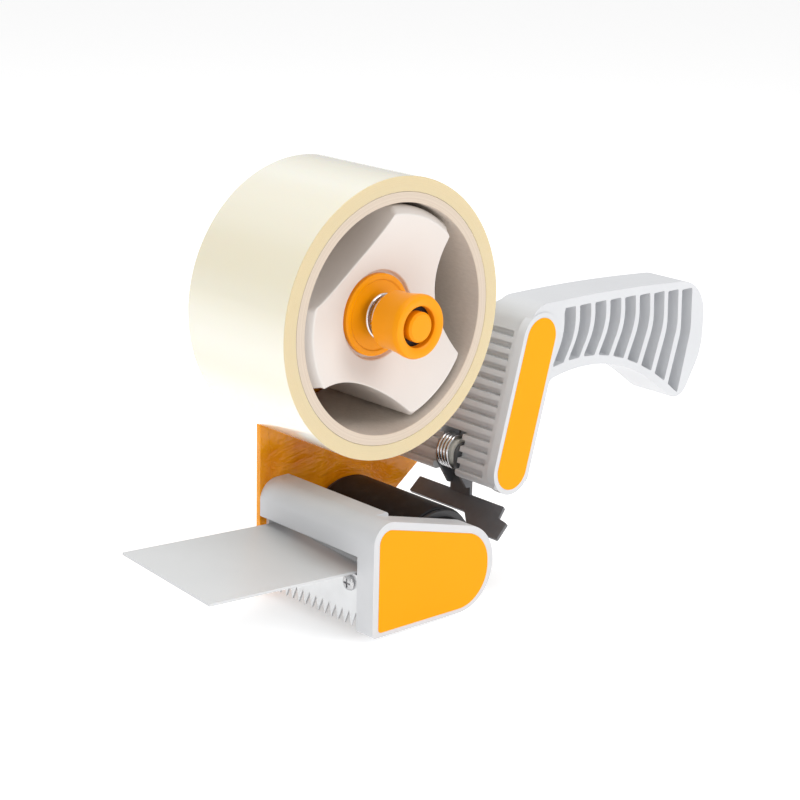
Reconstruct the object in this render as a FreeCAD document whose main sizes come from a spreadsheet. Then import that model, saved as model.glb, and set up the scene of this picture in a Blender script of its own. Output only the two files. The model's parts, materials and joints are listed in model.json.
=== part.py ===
import FreeCAD, Part
import math
import os
import re

# Hand-held dispenser for 48 mm packing tape.  Millimetres, +Z up.
# The origin is the middle of the tape roll on the spindle's axis.  +X points back along the handle,
# -Y is the open side that the roll slides off, and +Y is the side plate.

DOC = FreeCAD.newDocument("TapeGun")
SHEET = DOC.addObject("Spreadsheet::Sheet", "Sizes")

SIZES = {
    # tape roll
    "tape_width": 48.0,
    "core_bore": 38.1,
    "core_wall": 3.5,
    "tape_build": 5.0,
    # frame
    "side_gap": 1.0,
    "plate_thickness": 2.0,
    "plate_boss": 27.0,
    "cheek_thickness": 8.0,
    "wall": 2.6,
    "front_face": -15.5,
    "front_top": -64.6,
    "bar_foot": -77.5,
    "bar_radius": 7.0,
    "cheek_fall": 15.5,
    "foot_level": -104.0,
    "cheek_back": 40.2,
    "cheek_heel": 15.4,
    "label_depth": 0.8,
    "label_inset": 2.5,
    # riser and handle
    "riser_foot_x": 47.5,
    "riser_foot_z": -69.0,
    "riser_lean": 15.0,
    "riser_depth": 17.0,
    "badge_radius": 9.0,
    "badge_proud": 0.4,
    "handle_width": 18.0,
    "handle_top": -5.5,
    "handle_end": 158.5,
    "handle_web": 4.0,
    "rib_pitch": 8.1,
    "rib_width": 2.2,
    "groove_pitch": 4.05,
    "groove_height": 2.3,
    "groove_depth": 2.0,
    # front roller
    "roller_x": 22.3,
    "roller_z": -88.2,
    "roller_radius": 18.2,
    "roller_inset": 2.0,
    "sleeve_wall": 3.5,
    "flange_width": 1.6,
    "axle_radius": 4.0,
    "axle_head": 6.5,
    "axle_seat": 4.0,
    "running_gap": 0.06,
    "face_gap": 0.15,
    # blade and flap
    "blade_thickness": 0.8,
    "blade_top": -84.6,
    "blade_bend": -94.0,
    "blade_drop": 8.8,
    "tooth_pitch": 3.35,
    "tooth_height": 5.0,
    "flap_length": 68.5,
    "flap_clearance": 1.0,
    "flap_thickness": 0.9,
    "flap_inset": 9.0,
    "flap_rise": 2.0,
    "flap_tilt": 4.46,
    "flap_twist": 4.0,
    "flap_pin_radius": 1.1,
    "flap_bead_radius": 2.3,
    # spindle, hub and brake
    "spindle_radius": 5.0,
    "spindle_head": 7.5,
    "cap_length": 5.3,
    "cap_proud": 0.3,
    "collar_radius": 9.0,
    "collar_width": 2.5,
    "pad_thickness": 1.3,
    "pad_gap": 0.2,
    "pad_radius": 12.0,
    "hub_clearance": 1.3,
    "hub_nose": 2.6,
    "hub_inset": 0.5,
    "seat_depth": 9.5,
    "hub_wall": 2.5,
    "scallop_depth": 13.8,
    "scallop_radius": 49.6,
    "bush_wall": 2.0,
    "washer_radius": 13.7,
    "washer_thickness": 2.0,
    "spring_clearance": 1.55,
    "spring_wire": 0.65,
    "spring_room": 7.24,
    "knob_radius": 10.6,
    "knob_length": 12.7,
    "mouth_step": 0.08,
    "insert_wall": 1.6,
    # tape stop
    "pin_inset": 5.5,
    "pin_rise": 7.5,
    "pin_radius": 1.5,
    "slot_half": 5.5,
    "slot_rise": 8.0,
    "slot_reach": 9.5,
    "stop_thickness": 1.2,
    "stop_inset": 2.6,
    "stop_back": 4.2,
    "stop_drop": 16.3,
    "stop_slope": 140.0,
    "ear_radius": 4.0,
    "coil_radius": 5.9,
    "coil_turns": 4,
    "coil_wire": 0.55,
    # screws
    "screw_reach": 10.0,
    "screw_radius": 2.0,
    "screw_head": 3.6,
    "small_screw_radius": 1.5,
    "small_screw_head": 2.8,
    "head_sink": 1.2,
}

for row, (alias, value) in enumerate(SIZES.items(), start=1):
    SHEET.set(f"A{row}", alias)
    SHEET.set(f"B{row}", str(value))
    SHEET.setAlias(f"B{row}", alias)
DOC.recompute()

# Faces that many pieces share, as formulas over the sheet.
NEAR = "0 - tape_width / 2 - side_gap"
FAR = "tape_width / 2 + side_gap"
PLATE_OUT = f"{FAR} + plate_thickness"
PLATE_SINK = f"{PLATE_OUT} - head_sink"
CHEEK_OUT = f"{NEAR} - cheek_thickness"

HUB_RADIUS = "core_bore - hub_clearance"
BUSH_RADIUS = "spindle_radius + running_gap + bush_wall"
HUB_FACE = "hub_inset - tape_width / 2"
HUB_SEAT = f"{HUB_FACE} + seat_depth"
HUB_BACK = f"{FAR} - collar_width - pad_thickness - pad_gap"
WASHER_NEAR = f"{HUB_SEAT} - running_gap - washer_thickness"
KNOB_BACK = f"{WASHER_NEAR} - spring_room"
KNOB_FRONT = f"{KNOB_BACK} - knob_length"
CAP_END = f"{KNOB_FRONT} - cap_proud"
SPINDLE_END = f"{CAP_END} + cap_length"
INSERT_RADIUS = "spindle_radius + running_gap + insert_wall"
SPRING_RADIUS = "spindle_radius + spring_clearance + spring_wire"

# The half lengths of the roller and the flap, and the hinges' axes.
ROLLER_HALF = "tape_width / 2 - roller_inset"
FLAP_HALF = "tape_width / 2 - flap_clearance"
FLAP_X = "front_face + flap_inset"
FLAP_Z = "blade_top + flap_rise"
PIN_X = "riser_foot_x + pin_inset"
PIN_Z = "riser_foot_z + pin_rise"
SLOT_TOP = f"{PIN_Z} + slot_rise"

NODES = []


def size(text):
    """The number that a formula over the sheet's aliases comes to."""
    numbers = re.sub(r"\b([a-z]\w*)\b", lambda found: f"({SHEET.get(found[1])})", text)
    return FreeCAD.Units.Quantity(numbers).Value


def formula(text):
    """A formula over the sheet's aliases, spelt as an expression."""
    return re.sub(r"\b([a-z]\w*)\b", r"Sizes.\1", str(text))


def riser_front(z):
    """X of the riser's front face at height z."""
    lean = math.tan(math.radians(size("riser_lean")))
    return size("riser_foot_x") + lean * (z - size("riser_foot_z"))


def keep(obj, label):
    """Mark an object as a finished sub-part under its own name."""
    obj.Label = label
    NODES.append(obj)
    return obj


# ---------------------------------------------------------------- drawing helpers

def rounded_outline(corners):
    """Lines and tangent arcs round a closed run of (x, y, corner radius)."""
    points = [FreeCAD.Vector(x, y, 0) for x, y, _ in corners]
    count = len(points)
    starts, ends, arcs = [], [], []
    for i, (_, _, radius) in enumerate(corners):
        here = points[i]
        back = (points[i - 1] - here).normalize()
        ahead = (points[(i + 1) % count] - here).normalize()
        half = back.getAngle(ahead) / 2
        reach = radius / math.tan(half)
        middle = here + (back + ahead).normalize() * (radius / math.sin(half) - radius)
        starts.append(here + back * reach)
        ends.append(here + ahead * reach)
        arcs.append(Part.Arc(starts[i], middle, ends[i]) if radius > 0 else None)
    edges = []
    for i in range(count):
        if arcs[i]:
            edges.append(arcs[i])
        following = starts[(i + 1) % count]
        if (following - ends[i]).Length > 1e-4:
            edges.append(Part.LineSegment(ends[i], following))
    return edges


def new_sketch(body, role, edges):
    """A sketch of the given edges on one of the body's origin planes."""
    plane = next(o for o in body.Origin.OriginFeatures if o.Role == role)
    sketch = body.newObject("Sketcher::SketchObject", body.Name + "_sketch")
    sketch.AttachmentSupport = [(plane, "")]
    sketch.MapMode = "FlatFace"
    sketch.addGeometry(edges, False)
    return sketch


def slab(name, corners, near, far):
    """A piece with a flat outline in X and Z, from y = near to y = far."""
    body = DOC.addObject("PartDesign::Body", name)
    sketch = new_sketch(body, "XZ_Plane", rounded_outline(corners))
    sketch.setExpression(".AttachmentOffset.Base.z", formula(f"0 - ({far})"))
    pad = body.newObject("PartDesign::Pad", name + "_pad")
    pad.Profile = sketch
    pad.setExpression("Length", formula(f"({far}) - ({near})"))
    return body


def turned(name, corners):
    """A piece turned about the Y axis from an outline of (radius, y, corner radius)."""
    body = DOC.addObject("PartDesign::Body", name)
    sketch = new_sketch(body, "XY_Plane", rounded_outline(corners))
    spin = body.newObject("PartDesign::Revolution", name + "_turn")
    spin.Profile = sketch
    spin.ReferenceAxis = (sketch, ["V_Axis"])
    spin.Angle = 360
    return body


def rod(name, radius, near, far, x="0", z="0"):
    """A round bar along Y; every measure is a formula."""
    bar = DOC.addObject("Part::Cylinder", name)
    bar.Placement.Rotation = FreeCAD.Rotation(FreeCAD.Vector(1, 0, 0), -90)
    bar.setExpression("Radius", formula(radius))
    bar.setExpression("Height", formula(f"({far}) - ({near})"))
    bar.setExpression(".Placement.Base.x", formula(x))
    bar.setExpression(".Placement.Base.y", formula(near))
    bar.setExpression(".Placement.Base.z", formula(z))
    return bar


def fixed_rod(name, radius, near, far, x, z):
    """A round bar along Y at a worked-out place."""
    return rod(name, radius, near, far, f"{x:.4f}", f"{z:.4f}")


def block(name, x, y, z):
    """A box between the (low, high) formulas given for each axis."""
    box = DOC.addObject("Part::Box", name)
    for side, corner, (low, high) in zip(("Length", "Width", "Height"), "xyz", (x, y, z)):
        box.setExpression(side, formula(f"({high}) - ({low})"))
        box.setExpression(f".Placement.Base.{corner}", formula(low))
    return box


def fuse(name, *pieces):
    joined = DOC.addObject("Part::MultiFuse", name)
    joined.Shapes = list(pieces)
    joined.Refine = True
    return joined


def cut(name, base, *tools):
    result = DOC.addObject("Part::Cut", name)
    result.Base = base
    result.Tool = tools[0] if len(tools) == 1 else fuse(name + "_tools", *tools)
    result.Refine = True
    return result


def group(name, *pieces):
    """Separate solids kept together as one node."""
    bundle = DOC.addObject("Part::Compound", name)
    bundle.Links = list(pieces)
    return bundle


# ---------------------------------------------------------------- tape roll

def make_roll():
    half = "tape_width / 2"
    outer = "core_bore + core_wall"
    core = cut("core_cut", rod("core_rod", outer, f"0 - ({half})", half),
               rod("core_hole", "core_bore", f"0 - ({half}) - 1", f"{half} + 1"))
    keep(core, "tape_core")
    tape = cut("tape_cut", rod("tape_rod", f"{outer} + tape_build", f"0 - ({half})", half),
               rod("tape_hole", outer, f"0 - ({half}) - 1", f"{half} + 1"))
    keep(tape, "tape_roll")


# ---------------------------------------------------------------- hub, spindle and brake

def scallop(name, angle, extra):
    """A round cutter that hollows one side of the hub; extra thickens it by a wall."""
    reach = size(f"{HUB_RADIUS} - scallop_depth + scallop_radius")
    x, z = reach * math.cos(math.radians(angle)), reach * math.sin(math.radians(angle))
    return fixed_rod(name, f"scallop_radius + {extra}", f"{HUB_FACE} - 5", f"{HUB_BACK} + 5", x, z)


def make_hub():
    bore = size(BUSH_RADIUS)
    seat = size("washer_radius") + 1.1
    face, back = size(HUB_FACE), size(HUB_BACK)
    outer = size(HUB_RADIUS)
    rim = outer - size("hub_nose")
    floor = size(HUB_SEAT)
    lip = floor - 1.7
    wall = size("hub_wall")
    solid = turned("hub_solid", [(bore, floor, 0), (seat, floor, 0), (seat, lip, 0), (rim, face, 0.8),
                                 (outer, face + 3.0, 1.0), (outer, back, 0.5), (bore, back, 0)])
    inner = bore + wall + 3.0
    hollow = turned("hub_hollow", [(inner, floor + wall, 1.0), (seat, floor + wall, 1.0),
                                   (rim - wall, face + wall + 1.5, 1.0), (outer - wall, face + 6.0, 1.0),
                                   (outer - wall, back + 1.0, 0), (inner, back + 1.0, 0)])
    sides = (8.0, 128.0, 248.0)
    cutters = [scallop(f"scallop_{i}", a, "0") for i, a in enumerate(sides)]
    guards = [scallop(f"scallop_guard_{i}", a, "hub_wall") for i, a in enumerate(sides)]
    hub = cut("hub_cut", solid, cut("hub_core_out", hollow, *guards), *cutters)
    keep(hub, "hub")
    bush = cut("bush_cut", rod("bush_rod", BUSH_RADIUS, HUB_SEAT, HUB_BACK),
               rod("bush_hole", "spindle_radius + running_gap", f"{HUB_SEAT} - 1", f"{HUB_BACK} + 1"))
    keep(bush, "hub_bush")


def make_spindle():
    collar_near = f"{FAR} - collar_width"
    spindle = fuse("spindle_all",
                   rod("spindle_stub", "spindle_radius / 2", f"{SPINDLE_END} - 3", SPINDLE_END),
                   rod("spindle_shaft", "spindle_radius", SPINDLE_END, PLATE_OUT),
                   rod("spindle_collar", "collar_radius", collar_near, FAR),
                   rod("spindle_rivet", "spindle_head", PLATE_SINK, PLATE_OUT))
    keep(spindle, "spindle")
    cap = cut("cap_cut", rod("cap_rod", "spindle_radius", CAP_END, SPINDLE_END),
              rod("cap_hole", "spindle_radius / 2", f"{SPINDLE_END} - 3", f"{SPINDLE_END} + 1"))
    keep(cap, "spindle_cap")
    pad = cut("pad_cut", rod("pad_rod", "pad_radius", f"{collar_near} - pad_thickness", collar_near),
              rod("pad_hole", "spindle_radius", f"{collar_near} - 5", f"{collar_near} + 1"))
    keep(pad, "friction_pad")
    washer = cut("washer_cut",
                 rod("washer_rod", "washer_radius", WASHER_NEAR, f"{HUB_SEAT} - running_gap"),
                 rod("washer_hole", "spindle_radius", f"{WASHER_NEAR} - 1", f"{HUB_SEAT} + 1"))
    keep(washer, "brake_washer")


def make_brake_spring():
    """Compression spring between the brake washer and the knob."""
    wire = size("spring_wire")
    body = DOC.addObject("PartDesign::Body", "brake_spring_body")
    start = FreeCAD.Vector(size(SPRING_RADIUS), size(WASHER_NEAR) - wire, 0)
    sketch = new_sketch(body, "XY_Plane", [Part.Circle(start, FreeCAD.Vector(0, 0, 1), wire)])
    coil = body.newObject("PartDesign::AdditiveHelix", "brake_coil")
    coil.Profile = sketch
    coil.ReferenceAxis = (sketch, ["V_Axis"])
    coil.Mode = "height-turns-angle"
    coil.setExpression("Height", formula("spring_room - 2 * spring_wire - 0.1"))
    coil.Turns = 3
    coil.Reversed = True
    keep(body, "brake_spring")


def make_knob():
    back, front = size(KNOB_BACK), size(KNOB_FRONT)
    outer = size("knob_radius")
    bore = size(f"{INSERT_RADIUS} + running_gap")
    mouth = bore + size("mouth_step")
    ledge = front + 3.0
    knob = turned("knob_turned", [(bore, back, 0), (outer - 0.6, back, 1.0), (outer - 0.8, front + 8.0, 0),
                                  (outer, front + 2.5, 1.5), (outer, front, 0.8), (mouth, front, 0.4),
                                  (mouth, ledge, 0), (bore, ledge, 0)])
    keep(knob, "brake_knob")
    sleeve = cut("insert_cut",
                 rod("insert_rod", INSERT_RADIUS, f"{KNOB_FRONT} + 3.2", f"{KNOB_BACK} - 0.3"),
                 rod("insert_hole", "spindle_radius + running_gap", KNOB_FRONT, f"{KNOB_BACK} + 1"))
    keep(sleeve, "knob_insert")


# ---------------------------------------------------------------- side plate

def cheek_corners(inset=0.0):
    """The outline of the front cheek, moved inwards by inset."""
    front, back = size("front_face"), size("cheek_back")
    foot = size("foot_level")
    brow = size("bar_radius")
    slope = math.radians(size("cheek_fall"))
    crown = size("front_top") - brow + brow / math.tan(math.pi / 4 - slope / 2)
    heel = size("cheek_heel")
    top_drop = math.tan(slope) * (back - front)
    low = inset * 0.6
    return [(front + inset, foot + low, 1.5),
            (front + inset, crown - inset * 1.4, brow - inset),
            (back - inset, crown - top_drop - inset * 0.8, heel - inset),
            (back - inset, foot - 1.8 + low, heel - inset)]


def riser_screw_places():
    half, foot = size("riser_depth") / 2, size("riser_foot_z")
    return [(riser_front(z) + half, z) for z in (foot + 28.0, foot + 6.0)]


def housing_screw_places():
    front, top = size("front_face"), size("front_top")
    return [(front + 8.0, top - 7.6), (front + 10.5, top - 25.4)]


def make_side_plate():
    front, foot, back = size("front_face"), size("foot_level"), size("cheek_back")
    heel = size("cheek_heel")
    riser_foot = size("riser_foot_z")
    brace_top = riser_foot + 35.0
    edge = size("riser_depth") - 1.0
    web = slab("plate_web", [(front, foot, 2.0), (front, -14.0, 4.0), (0.0, 12.0, 4.0), (17.0, 21.0, 3.0),
                             (riser_front(brace_top) + edge, brace_top, 6.0),
                             (riser_front(riser_foot) + edge, riser_foot, 3.0),
                             (back + 18.7, riser_foot - 5.0, 1.0), (back + 4.0, riser_foot - 15.7, 1.0),
                             (back, riser_foot - 18.6, 3.0), (back, foot - 1.8, heel - 0.4)], FAR, PLATE_OUT)
    boss = rod("plate_boss_disc", "plate_boss", FAR, PLATE_OUT)
    low, high = f"{FAR} - 1", f"{PLATE_OUT} + 1"
    holes = [rod("plate_spindle_hole", "spindle_radius", low, high),
             rod("plate_spindle_sink", "spindle_head", PLATE_SINK, high),
             roller_rod("plate_axle_hole", "axle_radius", low, high),
             roller_rod("plate_axle_sink", "axle_head", PLATE_SINK, high)]
    for name, places, shank, head in plate_fastenings():
        for i, (x, z) in enumerate(places):
            holes.append(fixed_rod(f"{name}_hole_{i}", shank, low, high, x, z))
            holes.append(fixed_rod(f"{name}_sink_{i}", head, PLATE_SINK, high, x, z))
    keep(cut("plate_cut", fuse("plate_blank", web, boss), *holes), "side_plate")


def plate_fastenings():
    """The plate's two sets of screws: name, places, shank and head radius."""
    return (("riser_screw", riser_screw_places(), "screw_radius", "screw_head"),
            ("housing_screw", housing_screw_places(), "small_screw_radius", "small_screw_head"))


def make_screws():
    """Screws that hold the plate to the riser and to the front housing, their heads flush with it."""
    for name, places, shank, head in plate_fastenings():
        screws = [fuse(f"{name}_{i}",
                       fixed_rod(f"{name}_shank_{i}", shank, f"{FAR} - screw_reach", PLATE_OUT, x, z),
                       fixed_rod(f"{name}_head_{i}", head, PLATE_SINK, PLATE_OUT, x, z))
                  for i, (x, z) in enumerate(places)]
        keep(group(name, *screws), name + "s")


# ---------------------------------------------------------------- front housing, blade and flap

def make_front_housing():
    front, top = size("front_face"), size("front_top")
    wall = size("wall")
    sill = size("bar_foot")
    cheek = slab("cheek", cheek_corners(), CHEEK_OUT, NEAR)
    brow = size("bar_radius")
    bar = slab("guard_bar", [(front, sill, 0.6), (front, top, brow), (front + 13.5, top, 1.2),
                             (front + 13.5, top - wall, 0.6), (front + wall, top - wall, brow - wall),
                             (front + wall, sill, 0.6)], NEAR, FAR)
    face = front + 1.5 + size("blade_thickness")
    shelf, sole = size("blade_top") - 0.4, size("blade_bend") - 1.0
    carrier = slab("blade_carrier", [(face, sole, 0.4), (face, shelf, 0.4),
                                     (face + wall, shelf, 0.4), (face + wall, sole, 0.4)], NEAR, FAR)
    flange = slab("end_flange", [(face + 0.6, sole + 0.8, 1.0), (face + 0.6, top - 1.5, 4.0),
                                 (front + 15.5, top - 1.5, 3.0), (front + 15.5, sole + 0.8, 3.0)],
                  f"{FAR} - wall / 2", FAR)
    bosses = [fixed_rod(f"housing_boss_{i}", "small_screw_radius + 2", f"{FAR} - screw_reach - 2", FAR, x, z)
              for i, (x, z) in enumerate(housing_screw_places())]
    pilots = [fixed_rod(f"housing_pilot_{i}", "small_screw_radius",
                        f"{FAR} - screw_reach", f"{FAR} + 1", x, z)
              for i, (x, z) in enumerate(housing_screw_places())]
    axle_seat = roller_rod("cheek_axle_seat", "axle_radius", f"{NEAR} - axle_seat", f"{NEAR} + 1")
    pin_bore = rod("flap_pin_bore", "flap_pin_radius", f"{NEAR} - axle_seat", f"{FAR} + 1",
                   FLAP_X, FLAP_Z)
    recess = slab("cheek_recess", cheek_corners(size("label_inset")), f"{CHEEK_OUT} - 1",
                  f"{CHEEK_OUT} + label_depth")
    screw_holes = [small_screw_part(f"carrier_hole_{i}", y, 4.5) for i, y in enumerate(blade_screw_rows())]
    blank = fuse("housing_blank", cheek, bar, carrier, flange, *bosses)
    keep(cut("housing_cut", blank, *pilots, axle_seat, pin_bore, recess, *screw_holes), "front_housing")
    label = slab("cheek_label_slab", cheek_corners(size("label_inset") + 0.05),
                 f"{CHEEK_OUT} - 0.1", f"{CHEEK_OUT} + label_depth")
    keep(label, "cheek_label")


def blade_screw_rows():
    reach = size("tape_width") / 2 - 4.0
    return (-reach, reach)


def small_screw_part(name, y, length, radius="small_screw_radius"):
    """A round bar along X through the blade's upper strip at the given y."""
    bar = DOC.addObject("Part::Cylinder", name)
    bar.Placement.Rotation = FreeCAD.Rotation(FreeCAD.Vector(0, 1, 0), 90)
    bar.setExpression("Radius", formula(radius))
    bar.Height = length
    bar.Placement.Base.y = y
    bar.setExpression(".Placement.Base.x", formula("front_face + 1.5"))
    bar.setExpression(".Placement.Base.z", formula("(blade_top + blade_bend) / 2 + 1.3"))
    return bar


def make_blade():
    """Toothed strip: an upright strip on the carrier and a toothed skirt bent slightly forwards."""
    half = size("tape_width") / 2 + 0.4
    drop, tooth, pitch = size("blade_drop"), size("tooth_height"), size("tooth_pitch")
    teeth = int(2 * half / pitch)
    edge = teeth * pitch / 2
    corners = [(-half, 0, 0), (-half, tooth - drop, 0)]
    for i in range(teeth):
        left = i * pitch - edge
        corners += [(left, tooth - drop, 0), (left + pitch * 0.5, -drop, 0)]
    corners += [(edge, tooth - drop, 0), (half, tooth - drop, 0), (half, 0, 0)]
    body = DOC.addObject("PartDesign::Body", "blade_skirt")
    sketch = new_sketch(body, "YZ_Plane", rounded_outline(corners))
    pad = body.newObject("PartDesign::Pad", "blade_skirt_pad")
    pad.Profile = sketch
    pad.setExpression("Length", formula("blade_thickness"))
    body.Placement.Rotation = FreeCAD.Rotation(FreeCAD.Vector(0, 1, 0), 5)
    body.setExpression(".Placement.Base.x", formula("front_face + 1.5"))
    body.setExpression(".Placement.Base.z", formula("blade_bend"))
    strip = block("blade_strip", ("front_face + 1.5", "front_face + 1.5 + blade_thickness"),
                  ("0 - tape_width / 2 - 0.4", "tape_width / 2 + 0.4"),
                  ("blade_bend - 0.1", "blade_top"))
    holes = [small_screw_part(f"blade_hole_{i}", y, 2.0) for i, y in enumerate(blade_screw_rows())]
    keep(cut("blade_cut", fuse("blade_blank", body, strip), *holes), "blade")
    screws = []
    for i, y in enumerate(blade_screw_rows()):
        head = small_screw_part(f"blade_screw_head_{i}", y, 1.6, "small_screw_head")
        head.setExpression(".Placement.Base.x", formula("front_face - 0.1"))
        screws.append(fuse(f"blade_screw_{i}", small_screw_part(f"blade_screw_shank_{i}", y, 4.0), head))
    keep(group("blade_screw_group", *screws), "blade_screws")


def make_flap():
    """Thin stiff flap on a pin inside the guard bar."""
    sheet = DOC.addObject("Part::Box", "flap_sheet")
    for side, reach in (("Length", "flap_length"), ("Width", f"2 * ({FLAP_HALF})"),
                        ("Height", "flap_thickness")):
        sheet.setExpression(side, formula(reach))
    tilt = FreeCAD.Rotation(FreeCAD.Vector(0, 1, 0), size("flap_tilt")).multiply(
        FreeCAD.Rotation(FreeCAD.Vector(1, 0, 0), size("flap_twist")))
    pivot = FreeCAD.Vector(size(FLAP_X), 0, size(FLAP_Z))
    corner = FreeCAD.Vector(-size("flap_length"), -size(FLAP_HALF), -size("flap_thickness") / 2)
    sheet.Placement = FreeCAD.Placement(pivot + tilt.multVec(corner), tilt)
    bead = rod("flap_bead", "flap_bead_radius", f"0 - ({FLAP_HALF})", FLAP_HALF, FLAP_X, FLAP_Z)
    bore = rod("flap_bore", "flap_pin_radius + running_gap", f"0 - ({FLAP_HALF}) - 1", f"{FLAP_HALF} + 1",
               FLAP_X, FLAP_Z)
    keep(cut("flap_cut", fuse("flap_blank", sheet, bead), bore), "tape_flap")
    keep(rod("flap_pin_rod", "flap_pin_radius", f"{NEAR} - axle_seat", FAR, FLAP_X, FLAP_Z),
         "flap_pin")


# ---------------------------------------------------------------- front roller

def roller_rod(name, radius, near, far):
    return rod(name, radius, near, far, "roller_x", "roller_z")


def make_roller():
    half = ROLLER_HALF
    inner = "roller_radius - sleeve_wall"
    sleeve = cut("sleeve_cut", roller_rod("sleeve_rod", "roller_radius", f"0 - ({half})", half),
                 roller_rod("sleeve_hole", inner, f"0 - ({half}) - 1", f"{half} + 1"))
    keep(sleeve, "roller_sleeve")
    end = f"{half} + flange_width"
    core = fuse("roller_blank", roller_rod("roller_tube", inner, f"0 - ({half})", half),
                roller_rod("roller_flange_near", "roller_radius - 0.8", f"0 - ({end})", f"0 - ({half})"),
                roller_rod("roller_flange_far", "roller_radius - 0.8", half, end))
    bore = roller_rod("roller_bore", "axle_radius + running_gap", f"0 - ({end}) - 1", f"{end} + 1")
    keep(cut("roller_core_cut", core, bore), "roller_core")
    axle = fuse("axle_all", roller_rod("axle_shaft", "axle_radius", f"{NEAR} - axle_seat", PLATE_OUT),
                roller_rod("axle_rivet", "axle_head", PLATE_SINK, PLATE_OUT))
    keep(axle, "roller_axle")
    washers = []
    for side, (near, far) in {"near": (NEAR, f"0 - ({end}) - face_gap"),
                              "far": (f"{end} + face_gap", FAR)}.items():
        disc = roller_rod(f"washer_disc_{side}", "axle_radius + 3", near, far)
        hole = roller_rod(f"washer_bore_{side}", "axle_radius", f"({near}) - 1", f"({far}) + 1")
        washers.append(cut(f"roller_washer_{side}", disc, hole))
    keep(group("roller_washer_pair", *washers), "roller_washers")


# ---------------------------------------------------------------- riser and handle

def under_z(x):
    """Height of the handle's underside at x."""
    return -32.0 - 0.00714 * (x - 88.0) ** 2


def top_z(x):
    """Height of the handle's top at x."""
    return size("handle_top") - 0.0005 * (x - 66.0) ** 2


def spine_corners():
    """Side outline of the upright and the handle together."""
    foot, top, end = size("riser_foot_z"), size("handle_top"), size("handle_end")
    depth = size("riser_depth")
    return [(riser_front(foot), foot, 2.0), (riser_front(top), top, 9.0), (104.5, top, 800.0),
            (end, top - 4.2, 15.0), (end, top - 31.5, 22.0), (end - 11.5, top - 50.7, 7.0),
            (107.0, top - 22.2, 70.0), (riser_front(-33.3) + depth, -33.3, 3.0),
            (riser_front(foot) + depth, foot, 2.0)]


def slot_corners(x):
    """One curved pocket of the handle whose upper left corner is at x."""
    width = size("rib_pitch") - size("rib_width")
    top = top_z(x + width / 2) - 3.0
    sweep = 5.0
    low_left = under_z(x - sweep) + 4.0
    low_right = under_z(x + width - sweep) + 4.0
    middle = top - 0.45 * (top - low_left)
    return [(x, top, 0.6), (x + width, top, 0.6), (x + width + 0.7, middle, 20.0),
            (x + width - sweep, low_right, 0.6), (x - sweep, low_left, 0.6), (x + 0.7, middle, 20.0)]


def badge_corners(inset=0.0):
    """Rounded badge outline that follows the riser's lean."""
    radius = size("badge_radius") - inset
    lean = math.radians(size("riser_lean"))
    along = FreeCAD.Vector(math.sin(lean), math.cos(lean), 0)
    across = FreeCAD.Vector(along.y, -along.x, 0)
    low = FreeCAD.Vector(riser_front(-62.8) + 7.1, -62.8, 0)
    high = low + along * 47.1
    corners = [low - along * radius - across * radius, high + along * radius - across * radius,
               high + along * radius + across * radius, low - along * radius + across * radius]
    return [(c.x, c.y, radius * 0.9999) for c in corners]


def groove_corners():
    """Comb outline that cuts the level grooves across the riser's front face."""
    lean = math.radians(size("riser_lean"))
    pitch, tall, deep = size("groove_pitch"), size("groove_height"), size("groove_depth")
    corners = [(riser_front(-66.5) - 6.0, -66.5, 0)]
    for i in range(13):
        z = -66.0 + i * pitch
        x = riser_front(z)
        out, back = x - 3.0, x + deep * math.cos(lean)
        corners += [(out, z, 0), (back, z, 0), (back + tall * math.tan(lean), z + tall, 0),
                    (out + tall * math.tan(lean), z + tall, 0)]
    last = corners[-1][1] + 0.5
    corners.append((riser_front(last) - 6.0, last, 0))
    return corners


def shoulder_cutter():
    """A slanted block that takes the far upper corner off the wide riser."""
    tool = DOC.addObject("Part::Box", "shoulder_block")
    tool.Length, tool.Width, tool.Height = 80, 80, 40
    tool.Placement.Rotation = FreeCAD.Rotation(FreeCAD.Vector(1, 0, 0), -45)
    tool.setExpression(".Placement.Base.x", formula("riser_foot_x - 10"))
    tool.setExpression(".Placement.Base.y", formula(f"{NEAR} + handle_width + 1"))
    tool.setExpression(".Placement.Base.z", formula("handle_top - 1.5"))
    return tool


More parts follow.
